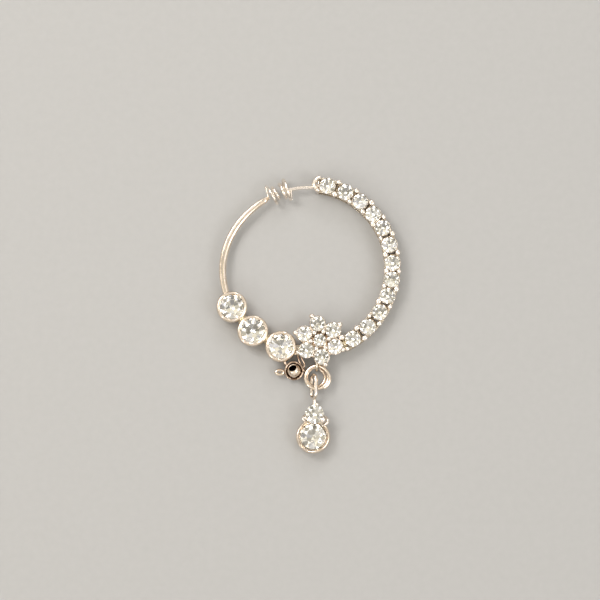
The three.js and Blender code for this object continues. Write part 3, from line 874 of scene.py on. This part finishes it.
LINK_SHARE, LINK_LEVEL = 0.31, 0.9 * MM
LINK_SIZE = (0.8 * MM, 0.75 * MM, 0.7 * MM)
DROP_PROFILE = [
    (0, 0), (2.2, 0), (2.32, 0.06), (2.58, 0.8), (2.62, 1.3), (2.61, 2.1), (2.55, 2.34),
    (2.44, 2.42), (2.32, 2.38), (2.24, 2.28), (2.05, 1.98), (2.02, 1.86), (2.02, 1.74),
    (1.72, 1.5), (0.5, 0.24), (0, 0.15),
]

cup = bmesh.new()
turn_profile(cup, DROP_PROFILE, on_floor("drop_stone_lower"))
unevenness(cup, amount=0.06 * MM, size=1.2 * MM, above=1.0 * MM)
set_piece("drop_bezel_cup", cup, champagne, ["drop_frame"], corner=42)

link = bmesh.new()
place = on_floor("drop_stone_upper").lerp(on_floor("drop_stone_lower"), LINK_SHARE)
place.z = LINK_LEVEL
made = solder_lump(link, place, LINK_SIZE)
bmesh.ops.translate(link, vec=place, verts=made)
set_piece("drop_solder", link, solder, ["drop_frame"])


# Stones: clear zirconia, each ground as a round brilliant with a table, thirty-two facets above
# the girdle and twenty-four below, and polished. They are all the same cut in different sizes,
# held by the rims and the claws.

# All lengths of the cut are parts of the stone's radius, and slopes are in degrees
GIRDLE, BLANK_DEPTH = 0.035, 2.4
TABLE_RADIUS = 0.57
CROWN_SLOPE, STAR_SLOPE, UPPER_SLOPE = 34.5, 20.0, 41.0
MAIN_SLOPE, LOWER_SLOPE = 40.75, 41.9
GIRDLE_REACH, CROWN_REACH, MAIN_REACH = 0.998, 0.995, 0.985
CROWN_HEIGHT = GIRDLE + (1 - TABLE_RADIUS) * math.tan(math.radians(CROWN_SLOPE))


def grind(bm, slope, turn, reach, level, side):
    """Grinds a flat facet: cuts off all that lies beyond a plane at a slope to the girdle."""
    lean = math.radians(slope)
    facing = polar(math.sin(lean), turn, side * math.cos(lean))
    cut = bmesh.ops.bisect_plane(
        bm, geom=bm.verts[:] + bm.edges[:] + bm.faces[:], dist=1e-6,
        plane_co=polar(reach, turn, level), plane_no=facing, clear_outer=True,
    )
    rim = [item for item in cut["geom_cut"] if isinstance(item, bmesh.types.BMEdge)]
    bmesh.ops.holes_fill(bm, edges=rim, sides=0)


def ground_stone():
    """A round brilliant one unit in radius, ground from a round blank."""
    bm = bmesh.new()
    bmesh.ops.create_cone(bm, cap_ends=True, segments=64, radius1=1, radius2=1, depth=BLANK_DEPTH)
    grind(bm, 0, 0, 0, CROWN_HEIGHT, 1)
    sixteenth, eighth = 360 / 16, 360 / 8
    for i in range(16):
        turn = sixteenth * (i + 0.5)
        grind(bm, UPPER_SLOPE, turn, GIRDLE_REACH, GIRDLE, 1)
        grind(bm, LOWER_SLOPE, turn, GIRDLE_REACH, -GIRDLE, -1)
    table_edge = TABLE_RADIUS * math.cos(math.radians(eighth / 2))
    for i in range(8):
        grind(bm, CROWN_SLOPE, eighth * i, CROWN_REACH, GIRDLE, 1)
        grind(bm, MAIN_SLOPE, eighth * i, MAIN_REACH, -GIRDLE, -1)
        grind(bm, STAR_SLOPE, eighth * (i + 0.5), table_edge, CROWN_HEIGHT, 1)
    bmesh.ops.remove_doubles(bm, verts=bm.verts[:], dist=1e-4)
    bmesh.ops.recalc_face_normals(bm, faces=bm.faces[:])
    return bm


def zirconia(name, tint, haze):
    """Clear stone: the tint drifts a little, and the polish is hazy where it was handled."""
    material = bpy.data.materials.new(name)
    material.use_nodes = True
    nodes, links = material.node_tree.nodes, material.node_tree.links
    shader = nodes["Principled BSDF"]
    shader.inputs["Transmission Weight"].default_value = 1.0
    shader.inputs["IOR"].default_value = 2.15
    place = nodes.new("ShaderNodeTexCoord")
    drift = nodes.new("ShaderNodeTexNoise")
    drift.inputs["Scale"].default_value = 420
    links.new(place.outputs["Object"], drift.inputs["Vector"])
    tone = mixed(nodes, (1, 1, 1), tint)
    links.new(drift.outputs["Fac"], tone.inputs["Factor"])
    links.new(tone.outputs["Result"], shader.inputs["Base Color"])
    film = ranged(nodes, 0.45, 0.75, 0, haze)
    links.new(drift.outputs["Fac"], film.inputs["Value"])
    links.new(film.outputs["Result"], shader.inputs["Roughness"])
    return material


clear_stone = zirconia("clear_zirconia", (0.97, 0.92, 0.8), 0.04)

STONE_NODES = BEZEL_NODES + [f"line_stone_{i}" for i in range(1, 13)] + PETALS
STONE_NODES += ["flower_centre_stone", "drop_stone_upper", "drop_stone_lower"]
CROWN_SHARE = 0.3
STONE_FIT = 0.995
# Stones whose edges reach out over a thin seat, and how far
OVER_SEAT = {"line": 1.055, "petal": 1.04, "flower": 1.04}
TURN_STEP, TIP, TIP_STEP = 17.3, 2.2, 2.1

master = ground_stone()
for i, node in enumerate(STONE_NODES):
    low, high = (Vector(corner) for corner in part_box(node))
    radius = (high.x - low.x) / 2 * OVER_SEAT.get(node.split("_")[0], 1)
    place = Vector(((low.x + high.x) / 2, (low.y + high.y) / 2, high.z - CROWN_SHARE * radius))
    stone = master.copy()
    turned = Matrix.Rotation(math.radians(i * TURN_STEP), 4, "Z")
    tipped = Matrix.Rotation(math.radians(TIP * math.sin(i * TIP_STEP)), 4, "X")
    seated = Matrix.Translation(place) @ tipped @ turned @ Matrix.Scale(radius * STONE_FIT, 4)
    bmesh.ops.transform(stone, matrix=seated, verts=stone.verts[:])
    set_piece(f"cut_{node}", stone, clear_stone, [node], corner=1)
master.free()


# Floor: a plain sheet of pale paper that the ring lies on, under soft studio light. The ceiling is
# uneven and dotted with small lamps, so that the facets have something to throw back.

floor_mesh = bmesh.new()
bmesh.ops.create_grid(floor_mesh, x_segments=1, y_segments=1, size=1.5)
sheet = bpy.data.meshes.new("floor")
floor_mesh.to_mesh(sheet)
floor_mesh.free()
floor = bpy.data.objects.new("floor", sheet)
floor.location.z = cad_box[0][2]
bpy.context.scene.collection.objects.link(floor)
paper = bpy.data.materials.new("pale_paper")
paper.use_nodes = True
paper_shader = paper.node_tree.nodes["Principled BSDF"]
paper_shader.inputs["Roughness"].default_value = 0.8
spread = paper.node_tree.nodes.new("ShaderNodeTexCoord")
grain = paper.node_tree.nodes.new("ShaderNodeTexNoise")
grain.inputs["Scale"].default_value = 900
paper.node_tree.links.new(spread.outputs["Object"], grain.inputs["Vector"])
shade = mixed(paper.node_tree.nodes, (0.39, 0.385, 0.378), (0.42, 0.415, 0.407))
paper.node_tree.links.new(grain.outputs["Fac"], shade.inputs["Factor"])
paper.node_tree.links.new(shade.outputs["Result"], paper_shader.inputs["Base Color"])
sheet.materials.append(paper)

# Height in the sky and brightness, from the horizon to overhead, which is a little darker
CEILING = [
    (0.0, 0.3), (0.3, 0.7), (0.6, 1.05), (0.85, 1.15), (0.97, 1.05), (0.988, 0.65), (1.0, 0.6),
]
TINTS = [(0.4, (1.0, 0.93, 0.76)), (0.5, (1, 0.98, 0.92)), (0.6, (0.94, 0.92, 0.98))]
PANE_SCALE, HUE_SCALE, LAMP_SCALE = 10, 4, 7
PANE_DARK, PANE_BRIGHT = 0.55, 1.35
LAMP_CORE, LAMP_EDGE, LAMP_GLOW = 0.1, 0.17, 5
STUDIO_STRENGTH = 0.95

world = bpy.data.worlds.new("studio")
world.use_nodes = True
sky = world.node_tree
way = sky.nodes.new("ShaderNodeTexCoord").outputs["Generated"]


def ramp(value, stops):
    """A colour ramp through the stops, fed with a value."""
    node = sky.nodes.new("ShaderNodeValToRGB")
    for spot, tone in stops[1:-1]:
        node.color_ramp.elements.new(spot)
    for element, (spot, tone) in zip(node.color_ramp.elements, stops):
        element.position = spot
        element.color = (*tone, 1)
    sky.links.new(value, node.inputs["Fac"])
    return node.outputs["Color"]


def clouds(scale):
    """Soft round patches over the whole sky."""
    node = sky.nodes.new("ShaderNodeTexNoise")
    node.inputs["Scale"].default_value = scale
    node.inputs["Detail"].default_value = 0
    sky.links.new(way, node.inputs["Vector"])
    return node.outputs["Fac"]


def laid_on(first, second, blend):
    node = mixed(sky.nodes, blend=blend)
    sky.links.new(first, node.inputs["A"])
    sky.links.new(second, node.inputs["B"])
    return node.outputs["Result"]


upward = sky.nodes.new("ShaderNodeSeparateXYZ")
sky.links.new(way, upward.inputs["Vector"])
ceiling = ramp(upward.outputs["Z"], [(spot, (value,) * 3) for spot, value in CEILING])

contrast = ranged(sky.nodes, 0.43, 0.55, PANE_DARK, PANE_BRIGHT)
sky.links.new(clouds(PANE_SCALE), contrast.inputs["Value"])
lit = laid_on(ceiling, contrast.outputs["Result"], "MULTIPLY")
tinted = laid_on(lit, ramp(clouds(HUE_SCALE), TINTS), "MULTIPLY")

lamps = sky.nodes.new("ShaderNodeTexVoronoi")
lamps.inputs["Scale"].default_value = LAMP_SCALE
sky.links.new(way, lamps.inputs["Vector"])
glow = ranged(sky.nodes, LAMP_CORE, LAMP_EDGE, LAMP_GLOW, 0)
sky.links.new(lamps.outputs["Distance"], glow.inputs["Value"])
above = sky.nodes.new("ShaderNodeMath")
above.operation = "MULTIPLY"
sky.links.new(glow.outputs["Result"], above.inputs[0])
sky.links.new(ceiling, above.inputs[1])

studio = sky.nodes["Background"]
sky.links.new(laid_on(tinted, above.outputs["Value"], "ADD"), studio.inputs["Color"])
studio.inputs["Strength"].default_value = STUDIO_STRENGTH
bpy.context.scene.world = world
bpy.context.scene.view_settings.view_transform = "Standard"

# Place, size, power and colour
SOFTBOXES = [
    ((-0.16, 0.12, 0.3), 0.14, 0.5, (1.0, 0.97, 0.93)),
    ((0.22, -0.1, 0.26), 0.12, 0.2, (0.95, 0.97, 1.0)),
    ((0.05, 0.3, 0.2), 0.06, 0.15, (1, 1, 1)),
    ((-0.2, -0.18, 0.24), 0.05, 0.12, (1, 0.97, 0.94)),
]
for i, (place, size, power, tone) in enumerate(SOFTBOXES):
    lamp = bpy.data.lights.new(f"softbox_{i + 1}", "AREA")
    lamp.size = size
    lamp.energy = power
    lamp.color = tone
    box = bpy.data.objects.new(f"softbox_{i + 1}", lamp)
    box.location = place
    box.rotation_euler = (-Vector(place)).to_track_quat("-Z", "Y").to_euler()
    bpy.context.scene.collection.objects.link(box)


# Camera: it stands nearly straight above the ring, leaning a few degrees towards the drop, and far
# enough back that the ring fills about half of the view's height.

ELEVATION = 84.0
DISTANCE = 0.42
FRAME_WIDTH = 92.4 * MM
SENSOR_WIDTH = 36
AIM = Vector((-1.25, -4.97, 1.5)) * MM

view = bpy.data.cameras.new("camera")
view.sensor_width = SENSOR_WIDTH
view.lens = SENSOR_WIDTH * DISTANCE / FRAME_WIDTH
view.clip_start = 0.01
view.clip_end = 10
camera = bpy.data.objects.new("camera", view)
lean = math.radians(ELEVATION)
back = Vector((0, -math.cos(lean), math.sin(lean)))
target = hoop_centre + AIM
camera.location = target + back * DISTANCE
camera.rotation_euler = (-back).to_track_quat("-Z", "Y").to_euler()
bpy.context.scene.collection.objects.link(camera)
bpy.context.scene.camera = camera
